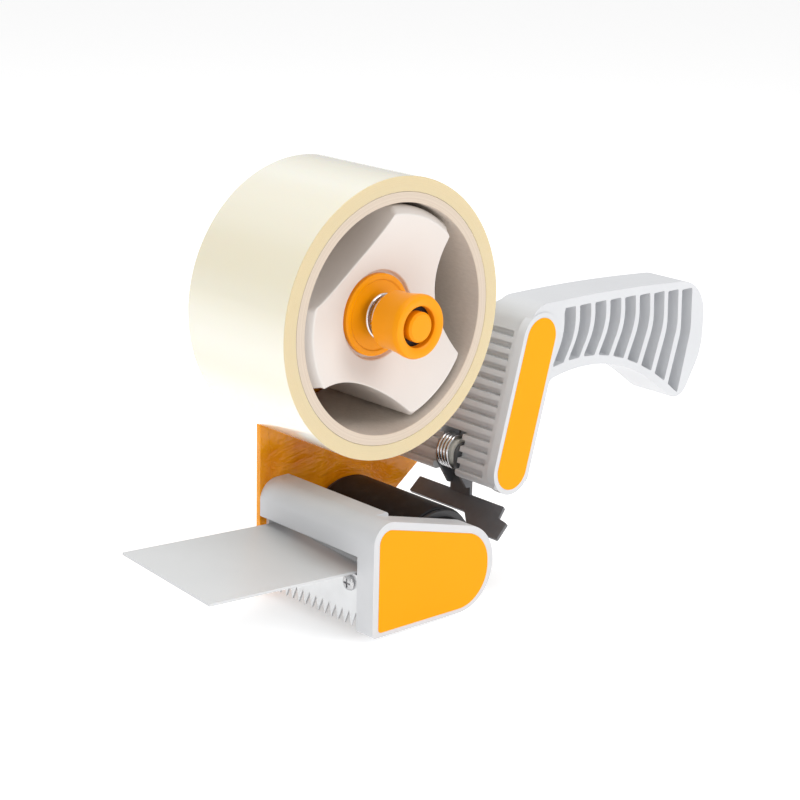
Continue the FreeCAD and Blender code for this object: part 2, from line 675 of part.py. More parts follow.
def make_body():
    foot, depth = size("riser_foot_z"), size("riser_depth")
    crown = size("handle_top") - 1.0
    spine = slab("spine", spine_corners(), NEAR, f"{NEAR} + handle_width")
    wide = slab("riser_wide", [(riser_front(foot), foot, 2.0), (riser_front(crown), crown, 9.0),
                               (riser_front(crown) + depth, crown, 2.0),
                               (riser_front(foot) + depth, foot, 2.0)], NEAR, FAR)
    riser = cut("riser_shoulder", wide, shoulder_cutter())
    badge = slab("badge", badge_corners(), f"{NEAR} - badge_proud", f"{NEAR} + 3")
    grooves = slab("riser_grooves", groove_corners(), f"{NEAR} + 6.5", f"{FAR} - 3")
    mouth = block("stop_slot", (f"{PIN_X} - 12", f"{PIN_X} + slot_reach"), ("0 - slot_half", "slot_half"),
                  ("riser_foot_z - 1", SLOT_TOP))
    pin_hole = rod("pin_hole", "pin_radius", "0 - slot_half - 6", "slot_half + 6", PIN_X, PIN_Z)
    pilots = [fixed_rod(f"riser_pilot_{i}", "screw_radius", f"{FAR} - screw_reach", f"{FAR} + 1", x, z)
              for i, (x, z) in enumerate(riser_screw_places())]
    low_web = f"{NEAR} + handle_width / 2 - handle_web / 2"
    high_web = f"{NEAR} + handle_width / 2 + handle_web / 2"
    pockets = []
    for i in range(9):
        corners = slot_corners(size("badge_radius") + 71.0 + i * size("rib_pitch"))
        pockets.append(slab(f"pocket_near_{i}", corners, f"{NEAR} - 1", low_web))
        pockets.append(slab(f"pocket_far_{i}", corners, high_web, f"{NEAR} + handle_width + 1"))
    recess = slab("badge_recess", badge_corners(size("label_inset") - 0.7), f"{NEAR} - badge_proud - 1",
                  f"{NEAR} - badge_proud + label_depth")
    open_spine = cut("spine_pockets", spine, *pockets)
    blank = fuse("body_blank", open_spine, riser, badge)
    keep(cut("body_cut", blank, grooves, mouth, pin_hole, recess, *pilots), "body_moulding")
    label = slab("riser_label_slab", badge_corners(size("label_inset") - 0.65),
                 f"{NEAR} - badge_proud - 0.1", f"{NEAR} - badge_proud + label_depth")
    keep(label, "riser_label")


# ---------------------------------------------------------------- tape stop

def make_stop_plate():
    half, thick = size("tape_width / 2 - stop_inset"), size("stop_thickness")
    neck = size("slot_half") - 0.5
    body = DOC.addObject("PartDesign::Body", "stop_cross")
    corners = [(0, -half, 0.5), (4.8, -half - 1.0, 0.5), (5.6, -half - 5.6, 0.5), (12.6, -half - 6.0, 0.5),
               (12.6, -13.0, 1.0), (6.8, -7.0, 2.0), (6.8, half, 0.5), (0, half, 0.5)]
    sketch = new_sketch(body, "XY_Plane", rounded_outline(corners))
    pad = body.newObject("PartDesign::Pad", "stop_cross_pad")
    pad.Profile = sketch
    pad.setExpression("Length", formula("stop_thickness"))
    body.Placement.Rotation = FreeCAD.Rotation(FreeCAD.Vector(0, 1, 0), size("stop_slope"))
    body.setExpression(".Placement.Base.x", formula(f"{PIN_X} + stop_back"))
    body.setExpression(".Placement.Base.z", formula(f"{PIN_Z} - stop_drop"))
    pin_x, pin_z, ear = size(PIN_X), size(PIN_Z), size("ear_radius")
    edge_x, edge_z = pin_x + size("stop_back"), pin_z - size("stop_drop")
    neck_plate = slab("stop_neck", [(edge_x - 0.6, edge_z - 0.9, 0.3), (edge_x - 0.6, pin_z - 6.5, 0.3),
                                    (edge_x - 0.6 + thick, pin_z - 6.5, 0.3),
                                    (edge_x - 0.6 + thick, edge_z - 0.9, 0.3)],
                      "0 - slot_half + 0.5", "slot_half - 0.5")
    ear_corners = [(pin_x - ear, pin_z + ear, ear - 0.1), (pin_x + ear, pin_z + ear, ear - 0.1),
                   (edge_x - 0.6 + thick, pin_z - 5.5, 1.0), (edge_x - 0.6 + thick, edge_z + 3.0, 0.3),
                   (edge_x - 2.4, edge_z + 3.0, 0.3), (pin_x - ear, pin_z - ear, ear - 0.1)]
    ears = []
    for side, (low, high) in {"near": ("0 - slot_half + 0.5", f"0 - slot_half + 0.5 + stop_thickness"),
                              "far": ("slot_half - 0.5 - stop_thickness", "slot_half - 0.5")}.items():
        ears.append(slab(f"stop_ear_{side}", ear_corners, low, high))
    bore = rod("stop_bore", "pin_radius + running_gap", f"{-neck - 1}", f"{neck + 1}", PIN_X, PIN_Z)
    keep(cut("stop_cut", fuse("stop_blank", body, neck_plate, *ears), bore), "stop_plate")
    keep(rod("hinge_pin_rod", "pin_radius", "0 - slot_half - 6", "slot_half + 6", PIN_X, PIN_Z), "hinge_pin")
    inner = "slot_half - 0.5 - stop_thickness - face_gap"
    bush = cut("hinge_bush_cut",
               rod("hinge_bush_rod", "coil_radius - coil_wire - 0.4", f"0 - ({inner})", inner, PIN_X, PIN_Z),
               rod("hinge_bush_hole", "pin_radius", "0 - slot_half", "slot_half", PIN_X, PIN_Z))
    keep(bush, "hinge_bush")


def make_torsion_spring():
    """Coil round the hinge bush with one leg behind the plate's neck and one under the slot's roof."""
    wire, coil_r = size("coil_wire"), size("coil_radius")
    pin = FreeCAD.Vector(size(PIN_X), 0, size(PIN_Z))
    reach = size("slot_half") - 0.5 - size("stop_thickness") - 0.3 - wire
    body = DOC.addObject("PartDesign::Body", "torsion_coil")
    start = FreeCAD.Vector(coil_r, -reach, 0)
    sketch = new_sketch(body, "XY_Plane", [Part.Circle(start, FreeCAD.Vector(0, 0, 1), wire)])
    coil = body.newObject("PartDesign::AdditiveHelix", "torsion_turns")
    coil.Profile = sketch
    coil.ReferenceAxis = (sketch, ["V_Axis"])
    coil.Mode = "height-turns-angle"
    coil.Height = 2 * reach
    coil.setExpression("Turns", "Sizes.coil_turns")
    body.Placement.Base = pin
    legs = []
    drop, rise = 12.0, size("slot_rise") - 0.3
    for name, y, low, length in (("back", -reach, -drop, drop), ("roof", reach, 0.0, rise)):
        leg = DOC.addObject("Part::Cylinder", f"torsion_leg_{name}")
        leg.Radius, leg.Height = wire, length
        leg.Placement.Base = pin + FreeCAD.Vector(coil_r, y, low)
        legs.append(leg)
    keep(fuse("torsion_all", body, *legs), "torsion_spring")


# ---------------------------------------------------------------- build, check and write

def check_and_write():
    DOC.recompute()
    for obj in DOC.Objects:
        bad = [s for s in obj.State if s in ("Invalid", "Error")]
        if bad:
            raise RuntimeError(f"{obj.Label} failed: {bad}")
    os.makedirs("parts", exist_ok=True)
    for node in NODES:
        shape = node.Shape
        if shape.isNull() or not shape.isValid() or not shape.Solids:
            raise RuntimeError(f"{node.Label} has no valid solid")
        shape.exportStep(f"parts/{node.Label}.step")
        box = shape.BoundBox
        print(f"{node.Label:16s} solids {len(shape.Solids)} volume {shape.Volume:9.1f}  "
              f"x {box.XMin:7.2f} {box.XMax:7.2f}  y {box.YMin:7.2f} {box.YMax:7.2f}  "
              f"z {box.ZMin:7.2f} {box.ZMax:7.2f}")


make_roll()
make_hub()
make_spindle()
make_brake_spring()
make_knob()
make_side_plate()
make_screws()
make_front_housing()
make_blade()
make_flap()
make_roller()
make_body()
make_stop_plate()
make_torsion_spring()
check_and_write()
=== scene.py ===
import bmesh
import bpy
import json
import math
from mathutils import Matrix, Vector


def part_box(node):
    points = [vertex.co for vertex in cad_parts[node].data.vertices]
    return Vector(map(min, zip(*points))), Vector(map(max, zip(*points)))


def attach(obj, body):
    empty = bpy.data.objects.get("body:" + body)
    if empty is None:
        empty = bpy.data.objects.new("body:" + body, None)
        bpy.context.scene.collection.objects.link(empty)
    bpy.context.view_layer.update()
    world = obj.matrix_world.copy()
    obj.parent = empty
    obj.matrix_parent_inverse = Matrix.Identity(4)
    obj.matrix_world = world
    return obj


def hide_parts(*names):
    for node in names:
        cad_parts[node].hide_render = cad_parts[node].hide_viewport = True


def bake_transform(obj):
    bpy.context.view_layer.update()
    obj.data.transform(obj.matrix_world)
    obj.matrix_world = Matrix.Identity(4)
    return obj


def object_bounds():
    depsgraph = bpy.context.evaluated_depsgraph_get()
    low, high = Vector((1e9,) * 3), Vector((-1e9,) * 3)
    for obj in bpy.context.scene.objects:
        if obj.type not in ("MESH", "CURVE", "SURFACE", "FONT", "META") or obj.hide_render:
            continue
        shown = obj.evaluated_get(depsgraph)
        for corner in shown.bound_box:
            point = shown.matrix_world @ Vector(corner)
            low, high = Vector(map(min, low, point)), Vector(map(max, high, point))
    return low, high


# Looks of a hand-held packing tape dispenser. Metres; +X runs back along the handle, -Y is the open side.

MM = 0.001
MERGE = 2e-6            # points closer than this become one
CAD_MERGE = 1e-6        # the same for a mesh that comes from the CAD
POINT_RADIUS = 1e-5     # stands for a radius of nothing, which can't be scaled up again
POINT_MERGE = 2.5e-5    # gathers such a ring into one point

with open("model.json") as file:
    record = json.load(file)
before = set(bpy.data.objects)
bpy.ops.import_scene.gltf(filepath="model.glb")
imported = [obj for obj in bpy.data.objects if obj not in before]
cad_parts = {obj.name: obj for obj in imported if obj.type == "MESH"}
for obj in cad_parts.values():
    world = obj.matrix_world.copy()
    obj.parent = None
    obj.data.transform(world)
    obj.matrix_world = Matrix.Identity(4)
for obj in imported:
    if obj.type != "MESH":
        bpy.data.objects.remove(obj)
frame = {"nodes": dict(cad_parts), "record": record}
cad_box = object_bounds()
NODES = frame["nodes"]


# ---------------------------------------------------------------- working with pieces

def deselect_all():
    if bpy.context.object and bpy.context.object.mode != "OBJECT":
        bpy.ops.object.mode_set(mode="OBJECT")
    bpy.ops.object.select_all(action="DESELECT")


def make_active(piece):
    deselect_all()
    piece.select_set(True)
    bpy.context.view_layer.objects.active = piece


def apply_modifier(piece, kind, **settings):
    make_active(piece)
    modifier = piece.modifiers.new(kind.title(), kind)
    for name, value in settings.items():
        setattr(modifier, name, value)
    bpy.ops.object.modifier_apply(modifier=modifier.name)


def round_edges(piece, radius, steps=3, angle=35):
    apply_modifier(piece, "BEVEL", width=radius, segments=steps, limit_method="ANGLE",
                   angle_limit=math.radians(angle), use_clamp_overlap=True, miter_outer="MITER_ARC")


def settle(piece, angle=36):
    """Put the piece's place into its mesh, merge loose points and shade it."""
    make_active(piece)
    bpy.ops.object.transform_apply(location=True, rotation=True, scale=True)
    bpy.ops.object.mode_set(mode="EDIT")
    bpy.ops.mesh.select_all(action="SELECT")
    bpy.ops.mesh.remove_doubles(threshold=MERGE)
    bpy.ops.mesh.normals_make_consistent(inside=False)
    bpy.ops.object.mode_set(mode="OBJECT")
    bpy.ops.object.shade_smooth_by_angle(angle=math.radians(angle))
    apply_modifier(piece, "WEIGHTED_NORMAL", mode="FACE_AREA", weight=100, keep_sharp=True)


def finish_piece(piece, body, slot, finish, *nodes):
    """Name a piece's body, its finish and the CAD nodes it stands for; a blended piece has no one body."""
    piece.data.materials.clear()
    piece.data.materials.append(finish)
    if body:
        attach(piece, body)
    if nodes:
        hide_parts(*nodes)
    return piece


def softened(node, name, radius):
    """A node's shape with its sharp edges rounded over."""
    piece = bpy.data.objects.new(name, NODES[node].data.copy())
    bpy.context.scene.collection.objects.link(piece)
    make_active(piece)
    bpy.ops.object.mode_set(mode="EDIT")
    bpy.ops.mesh.select_all(action="SELECT")
    bpy.ops.mesh.remove_doubles(threshold=CAD_MERGE)
    bpy.ops.mesh.dissolve_limited(angle_limit=math.radians(0.03))
    bpy.ops.object.mode_set(mode="OBJECT")
    round_edges(piece, radius)
    settle(piece)
    return piece


def turned(name, rings, centre=(0, 0, 0), sides=128):
    """A skin drawn out along Y through rings of (radius, y), closed where the last ring meets the first.

    A radius of nothing closes an end with a point in the middle.
    """
    deselect_all()
    radius, y = rings[0]
    bpy.ops.mesh.primitive_circle_add(vertices=sides, radius=max(radius, POINT_RADIUS),
                                      location=(centre[0], y, centre[2]), rotation=(math.pi / 2, 0, 0))
    piece = bpy.context.object
    piece.name = name
    bpy.ops.object.transform_apply(location=True, rotation=True)
    bpy.ops.object.mode_set(mode="EDIT")
    bpy.ops.mesh.select_all(action="SELECT")
    for next_radius, next_y in rings[1:]:
        grow = max(next_radius, POINT_RADIUS) / max(radius, POINT_RADIUS)
        bpy.ops.mesh.extrude_region_move(TRANSFORM_OT_translate={"value": (0, next_y - y, 0)})
        bpy.ops.transform.resize(value=(grow, 1, grow), center_override=(centre[0], next_y, centre[2]))
        radius, y = next_radius, next_y
    bpy.ops.mesh.select_all(action="SELECT")
    pointed = min(r for r, _ in rings) <= POINT_RADIUS
    bpy.ops.mesh.remove_doubles(threshold=POINT_MERGE if pointed else MERGE)
    bpy.ops.mesh.normals_make_consistent(inside=False)
    bpy.ops.object.mode_set(mode="OBJECT")
    return piece


def tube_rings(inner, outer, near, far):
    """The four corners of a plain ring's section, back to the first."""
    return [(inner, near), (outer, near), (outer, far), (inner, far), (inner, near)]


# ---------------------------------------------------------------- finishes

class Value:
    """A shader number; Python's operators on it add Math nodes."""

    def __init__(self, finish, socket):
        self.finish = finish
        self.socket = socket

    def _maths(self, operation, first, second):
        return self.finish.node("Math", {"operation": operation}, {0: first, 1: second})

    def __add__(self, other):
        return self._maths("ADD", self, other)

    def __radd__(self, other):
        return self._maths("ADD", other, self)

    def __sub__(self, other):
        return self._maths("SUBTRACT", self, other)

    def __rsub__(self, other):
        return self._maths("SUBTRACT", other, self)

    def __mul__(self, other):
        return self._maths("MULTIPLY", self, other)

    def __rmul__(self, other):
        return self._maths("MULTIPLY", other, self)

    def __pow__(self, other):
        return self._maths("POWER", self, other)


class Finish:
    """One procedural material and the nodes it is made of."""

    def __init__(self, name, colour, roughness, **surface):
        self.material = bpy.data.materials.new(name)
        self.material.use_nodes = True
        self.tree = self.material.node_tree
        self.shader = self.tree.nodes["Principled BSDF"]
        self.place = self.node("TexCoord", {}, {}, "Object")
        self.set(**{"Base Color": (*colour, 1), "Roughness": roughness})
        self.set(**{key.replace("_", " "): value for key, value in surface.items()})

    def node(self, kind, settings, inputs, output=0):
        made = self.tree.nodes.new("ShaderNode" + kind)
        for key, value in settings.items():
            setattr(made, key, value)
        for key, value in inputs.items():
            self.feed(made.inputs[key], value)
        return Value(self, made.outputs[output])

    def feed(self, socket, value):
        if isinstance(value, Value):
            self.tree.links.new(value.socket, socket)
        else:
            socket.default_value = value

    def set(self, **inputs):
        for key, value in inputs.items():
            self.feed(self.shader.inputs[key], value)

    def noise(self, scale, detail=3.0, roughness=0.5, stretch=(1, 1, 1), distortion=0.0):
        place = self.node("Mapping", {}, {"Vector": self.place, "Scale": stretch})
        return self.node("TexNoise", {}, {"Vector": place, "Scale": scale, "Detail": detail,
                                          "Roughness": roughness, "Distortion": distortion})

    def blend(self, factor, first, second):
        """Mix two colours, each a colour or a link."""
        def colour(value):
            return value if isinstance(value, Value) else (*value, 1)
        return self.node("Mix", {"data_type": "RGBA"}, {0: factor, 6: colour(first), 7: colour(second)}, 2)

    def spread(self, value, low, high):
        """Stretch a number so that low becomes 0 and high becomes 1, and keep it between them."""
        return self.node("MapRange", {"clamp": True}, {"Value": value, "From Min": low, "From Max": high})

    def bump(self, height, depth, strength):
        return self.node("Bump", {}, {"Height": height, "Distance": depth, "Strength": strength})

    def axis(self, name):
        return self.node("SeparateXYZ", {}, {"Vector": self.place}, name)

    def rings(self, scale):
        """Noise that changes only with the distance from the spindle's axis."""
        across, up = self.axis("X"), self.axis("Z")
        reach = (across * across + up * up) ** 0.5
        return self.node("TexNoise", {"noise_dimensions": "1D"}, {"W": reach, "Scale": scale, "Detail": 2.0})

    def sides(self, low, high):
        """1 on the two sides of the roll and 0 between them, with the change from low to high along Y."""
        offset = self.node("Math", {"operation": "ABSOLUTE"}, {0: self.axis("Y")})
        return self.spread(offset, low, high)


def moulded_plastic(name, colour, roughness, grain=0.00003, mottle=0.04, **surface):
    """Satin moulding: a fine spark-eroded grain, faint cloudiness and uneven gloss."""
    finish = Finish(name, colour, roughness, **surface)
    cloud = finish.noise(45, 4)
    shade = tuple(c * (1 - 2 * mottle) for c in colour)
    finish.set(**{"Base Color": finish.blend(cloud, shade, colour),
                  "Roughness": roughness - 0.08 + 0.16 * finish.noise(160, 3)})
    finish.set(Normal=finish.bump(finish.noise(2600, 2), grain, 0.5))
    return finish.material


def label_film():
    """Smooth printed vinyl with the faint waviness of film pressed on by hand."""
    colour = (1.0, 0.40, 0.0)
    finish = Finish("label_film", colour, 0.34, Specular_IOR_Level=0.1)
    worn = finish.spread(finish.noise(240, 5, 0.65), 0.62, 0.8)
    finish.set(**{"Base Color": finish.blend(finish.noise(30, 3), (0.97, 0.37, 0.0), colour),
                  "Roughness": 0.3 + 0.2 * worn})
    finish.set(Normal=finish.bump(finish.noise(220, 2), 0.00004, 0.35))
    return finish.material


def plate_gloss():
    """Glossy amber plate with wavy marks in its surface; its colour holds painted reflection, darker and
    lighter wavy streaks that stand for highlights off those marks.
    """
    finish = Finish("plate_gloss", (0.8, 0.25, 0.0), 0.16, Coat_Weight=0.2, Coat_Roughness=0.06,
                    Specular_IOR_Level=0.3)
    # Painted reflection: the base colour runs from darker to lighter orange in wavy streaks for the glossy
    # plate's highlights; the same noises also bump the surface.
    flow_and_reflection = finish.noise(26, 3, 0.55, (1.0, 1.0, 0.55), 1.6)
    ridge_and_highlight = finish.spread(finish.noise(48, 4, 0.6, (0.6, 1.0, 1.2), 2.2), 0.35, 0.68)
    painted_reflection_tone = finish.blend(finish.spread(flow_and_reflection, 0.3, 0.68), (0.66, 0.14, 0.0), (1.0, 0.36, 0.0))
    finish.set(**{"Base Color": finish.blend(ridge_and_highlight * 0.5, painted_reflection_tone, (1.0, 0.42, 0.01)),
                  "Roughness": 0.12 + 0.12 * finish.noise(120, 3)})
    finish.set(Normal=finish.bump(flow_and_reflection + 0.35 * ridge_and_highlight, 0.003, 0.5))
    return finish.material


def clear_tape():
    """Cream adhesive under wound film: fine rings on the sides, streaks in the surface round the outside, and
    soft bands of painted reflection in the colour round the outside.
    """
    finish = Finish("clear_tape", (0.9, 0.8, 0.56), 0.2, Coat_Weight=0.7, Coat_Roughness=0.07,
                    Subsurface_Weight=0.15, Subsurface_Radius=(0.006, 0.0045, 0.0025), Subsurface_Scale=0.6)
    side = finish.sides(0.02365, 0.0239)
    layers = finish.rings(9000.0)
    # Painted reflection: lighter and darker cream bands round the outside stand for the glossy film's
    # reflections.
    reflection_bands = finish.spread(finish.noise(24, 2, 0.5, (1, 0.02, 1)), 0.36, 0.62)
    film = finish.blend(reflection_bands, (0.86, 0.80, 0.62), (0.98, 0.96, 0.86))
    edge_tint = finish.blend(layers, (0.60, 0.47, 0.25), (0.80, 0.67, 0.41))
    streak = finish.noise(900, 2, 0.5, (1, 0.03, 1))
    finish.set(**{"Base Color": finish.blend(side, film, edge_tint), "Roughness": 0.16 + 0.3 * side})
    finish.set(Normal=finish.bump(layers * side + 0.25 * streak * (1 - side), 0.00005, 0.7))
    return finish.material


def core_card():
    """Grey-beige paper core: fibres, and layers that show on the cut edges."""
    finish = Finish("core_card", (0.56, 0.48, 0.40), 0.85)
    fibre = finish.noise(1400, 4, 0.7, (1, 0.3, 1))
    cut = finish.sides(0.0236, 0.02395)
    wall = finish.blend(fibre, (0.52, 0.46, 0.40), (0.70, 0.63, 0.56))
    rim = finish.blend(finish.rings(3500.0), (0.55, 0.44, 0.35), (0.80, 0.70, 0.58))
    finish.set(**{"Base Color": finish.blend(cut, wall, rim), "Roughness": 0.78 + 0.15 * fibre})
    finish.set(Normal=finish.bump(fibre, 0.00008, 0.6))
    return finish.material


def bright_metal(name, colour, roughness, stretch=(1, 1, 1), marks=0.1):
    """Metal with fine polishing lines; stretch draws them out."""
    finish = Finish(name, colour, roughness, Metallic=1.0)
    lines = finish.noise(1800, 3, 0.6, stretch)
    stain = finish.noise(120, 4)
    dull = tuple(c * 0.82 for c in colour)
    finish.set(**{"Base Color": finish.blend(stain, dull, colour),
                  "Roughness": roughness + marks * (lines - 0.4)})
    finish.set(Normal=finish.bump(lines, 0.00002, 0.4))
    return finish.material


def blued_steel():
    """Dark, faintly mottled pressed steel."""
    finish = Finish("blued_steel", (0.15, 0.15, 0.155), 0.42, Metallic=0.2, Specular_IOR_Level=0.5)
    mottle = finish.noise(90, 5, 0.6)
    finish.set(**{"Base Color": finish.blend(mottle, (0.10, 0.10, 0.105), (0.19, 0.19, 0.20)),
                  "Roughness": 0.34 + 0.22 * finish.noise(300, 3)})
    finish.set(Normal=finish.bump(finish.noise(1500, 3), 0.00003, 0.5))
    return finish.material


def black_rubber():
    """Ground rubber: a fine grain and a little bloom."""
    finish = Finish("black_rubber", (0.012, 0.012, 0.013), 0.5, Specular_IOR_Level=0.2)
    ground = finish.noise(2200, 3, 0.6, (0.2, 1, 0.2))
    bloom = finish.spread(finish.noise(150, 4), 0.5, 0.9)
    finish.set(**{"Base Color": finish.blend(bloom, (0.010, 0.010, 0.011), (0.035, 0.035, 0.037)),
                  "Roughness": 0.42 + 0.18 * ground})
    finish.set(Normal=finish.bump(ground, 0.00004, 0.6))
    return finish.material


def make_finishes():
    """One finish for each material slot of the record."""
    return {
        "body_plastic": moulded_plastic("pale_grey_moulding", (0.70, 0.71, 0.73), 0.44),
        "label": label_film(),
        "plate_plastic": plate_gloss(),
        "screw_steel": bright_metal("plated_steel", (0.62, 0.62, 0.63), 0.26),
        "blade_steel": bright_metal("brushed_steel", (0.84, 0.85, 0.86), 0.36, (1, 0.04, 1), 0.2),
        "stop_steel": blued_steel(),
        "spring_steel": bright_metal("spring_wire", (0.86, 0.87, 0.88), 0.12, marks=0.06),
        "insert_steel": bright_metal("blackened_steel", (0.03, 0.03, 0.032), 0.45, (1, 0.1, 1)),
        "nylon": moulded_plastic("nylon", (0.70, 0.68, 0.62), 0.5),
        "hub_plastic": moulded_plastic("warm_white_moulding", (0.80, 0.75, 0.71), 0.42),
        "core_plastic": moulded_plastic("black_core_plastic", (0.035, 0.035, 0.037), 0.4),
        "knob_plastic": moulded_plastic("orange_moulding", (1.0, 0.36, 0.0), 0.36, grain=0.00002,
                                        Specular_IOR_Level=0.2),
        "card": core_card(),
        "tape_film": clear_tape(),
        "rubber": black_rubber(),
        "flap_plastic": moulded_plastic("flap_sheet", (0.69, 0.70, 0.71), 0.38, grain=0.00002,
                                        mottle=0.03),
    }


FINISH = make_finishes()
SLOT_OF = {entry["node"]: entry["material_slot"] for entry in frame["record"]["subparts"]}
BODIES = frame["record"]["behaviour"]["bodies"]
BODY_OF = {node: body for body, members in BODIES.items() for node in members}


def dress_frame_nodes():
    """Give every carried-over node its finish."""
    for name, node in NODES.items():
        node.data.materials.clear()
        node.data.materials.append(FINISH[SLOT_OF[name]])


def stand_for(piece, node):
    """Put a piece in a node's place: same body, and the finish of the node's slot."""
    return finish_piece(piece, BODY_OF[node], SLOT_OF[node], FINISH[SLOT_OF[node]], node)


# ---------------------------------------------------------------- mouldings and pressings

EDGE_RADIUS_MM = {"body_moulding": 0.5, "front_housing": 0.5, "side_plate": 0.35, "stop_plate": 0.18,
                  "blade": 0.1, "riser_label": 0.12, "cheek_label": 0.12, "tape_flap": 0.2}


def make_mouldings():
    for node, radius in EDGE_RADIUS_MM.items():
        stand_for(softened(node, node + "_shell", radius * MM), node)


# ---------------------------------------------------------------- roll and hub

def place_of(node):
    """Axis position, radius and near and far ends of a node that is round about Y."""
    low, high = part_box(node)
    centre = (low + high) / 2
    return centre, (high.x - low.x) / 2, low.y, high.y


def make_tape():
    _, outer, near, far = place_of("tape_roll")
    _, core_outer, _, _ = place_of("tape_core")
    bore = 38.1 * MM
    parting = 0.02 * MM
    tape = turned("tape", tube_rings(core_outer, outer, near, far), sides=224)
    round_edges(tape, 0.25 * MM)
    settle(tape)
    stand_for(tape, "tape_roll")
    core = turned("paper_core", tube_rings(bore, core_outer - parting, near, far), sides=192)
    round_edges(core, 0.35 * MM)
    settle(core)
    stand_for(core, "tape_core")


def drawn_out(name, loops, sides):
    """A closed skin through loops round the Y axis; each loop gives (radius, y) for an angle."""
    deselect_all()
    bpy.ops.mesh.primitive_circle_add(vertices=sides, radius=0.01, rotation=(math.pi / 2, 0, 0))
    piece = bpy.context.object
    piece.name = name
    bpy.ops.object.transform_apply(rotation=True)
    bpy.ops.object.mode_set(mode="EDIT")
    bpy.ops.mesh.select_all(action="SELECT")
    for i, loop in enumerate(loops):
        if i:
            bpy.ops.mesh.extrude_region_move()
        cage = bmesh.from_edit_mesh(piece.data)
        for point in [v for v in cage.verts if v.select]:
            angle = math.atan2(point.co.z, point.co.x)
            radius, y = loop(angle)
            point.co = (radius * math.cos(angle), y, radius * math.sin(angle))
        bmesh.update_edit_mesh(piece.data)
    bpy.ops.mesh.select_all(action="SELECT")
    bpy.ops.mesh.remove_doubles(threshold=MERGE)
    bpy.ops.mesh.normals_make_consistent(inside=False)
    bpy.ops.object.mode_set(mode="OBJECT")
    return piece


def make_hub():
    """Three-lobed hub: dished face, scooped sides and a hollow back."""
    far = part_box("hub")[1].y
    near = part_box("tape_core")[0].y + 0.5 * MM
    bore, seat, nose, rim, wall = 7.06 * MM, 14.8 * MM, 34.2 * MM, 36.8 * MM, 2.5 * MM
    floor, lip = -14.0 * MM, -15.7 * MM
    scoop, scoop_depth = 49.6 * MM, 13.8 * MM
    scoop_turns = (8, 128, 248)
    centre = rim - scoop_depth + scoop

    def side(angle, limit, extra=0.0):
        """The lobed outline: a circle cut back by three round scoops."""
        radius = limit
        for turn in scoop_turns:
            swing = angle - math.radians(turn)
            across = centre * math.sin(swing)
            if math.cos(swing) > 0 and abs(across) < scoop + extra:
                cut = centre * math.cos(swing) - math.sqrt((scoop + extra) ** 2 - across ** 2)
                radius = min(radius, cut)
        return radius

    def inner_side(angle):
        return side(angle, rim - wall, wall)

    def dish(radius):
        """Height of the cone that the face lies on."""
        return lip + (radius - seat) / (nose - seat) * (near - lip)

    def ring(radius, y):
        return lambda angle: (radius, y)

    def front(angle):
        radius = side(angle, nose)
        return radius, dish(radius)

    def brow(angle):
        """Where the slope round the face meets the sides."""
        radius = side(angle, rim)
        return radius, max(near + 3 * MM, dish(side(angle, nose)) + 1.2 * MM)

    def pocket_floor(angle):
        radius = inner_side(angle)
        return radius, dish(radius) + 1.1 * wall

    boss = bore + 2 * wall
    loops = [ring(bore, floor), ring(seat, floor), ring(seat, lip), front, brow,
             lambda angle: (side(angle, rim), far), lambda angle: (inner_side(angle), far), pocket_floor,
             ring(seat + wall, floor + wall), ring(boss, floor + wall), ring(boss, far), ring(bore, far),
             ring(bore, floor)]
    hub = drawn_out("hub_moulding", loops, 288)
    round_edges(hub, 0.55 * MM, angle=32)
    settle(hub, 45)
    stand_for(hub, "hub")


# ---------------------------------------------------------------- brake and roller

def make_knob():
    """Brake knob: narrower behind, flaring to a rounded rim with a dished face round the cap."""
    _, outer, front, back = place_of("brake_knob")
    bore, mouth = 6.72 * MM, 6.8 * MM
    ledge = front + 3 * MM
    waist = outer - 0.9 * MM
    waist_rings = [(bore, back), (waist, back), (waist - 0.1 * MM, back - 3.5 * MM),
                   (waist + 0.35 * MM, front + 5.5 * MM)]
    flare_rings = [(outer - 0.05 * MM, front + 2.6 * MM), (outer, front + 1.4 * MM),
                   (outer - 0.5 * MM, front + 0.3 * MM), (outer - 1.5 * MM, front)]
    mouth_rings = [(mouth + 0.7 * MM, front + 0.35 * MM), (mouth, front + 0.9 * MM), (mouth, ledge),
                   (bore, ledge), (bore, back)]
    knob = turned("knob", waist_rings + flare_rings + mouth_rings, sides=96)
    round_edges(knob, 0.35 * MM, angle=30)
    settle(knob, 40)
    stand_for(knob, "brake_knob")


def make_cap():
    """Rounded plug over the spindle's end."""
    _, radius, front, back = place_of("spindle_cap")
    socket, socket_floor = radius / 2, back - 3 * MM
    rings = [(0, front), (radius * 0.55, front + 0.02 * MM), (radius - 0.7 * MM, front + 0.1 * MM),
             (radius, front + 0.8 * MM), (radius, back), (socket, back), (socket, socket_floor),
             (0, socket_floor)]
    cap = turned("cap", rings, sides=64)
    settle(cap, 40)
    stand_for(cap, "spindle_cap")


def make_washer():
    """Brake washer: a raised rim round a flat seat for the spring."""
    _, radius, near, far = place_of("brake_washer")
    bore = 5.0 * MM
    seat = near + 0.35 * MM
    rings = [(bore, seat), (radius - 2.2 * MM, seat), (radius - 1.7 * MM, near), (radius - 0.5 * MM, near),
             (radius, near + 0.5 * MM), (radius, far), (bore, far), (bore, seat)]
    washer = turned("washer", rings, sides=96)
    settle(washer, 30)
    stand_for(washer, "brake_washer")


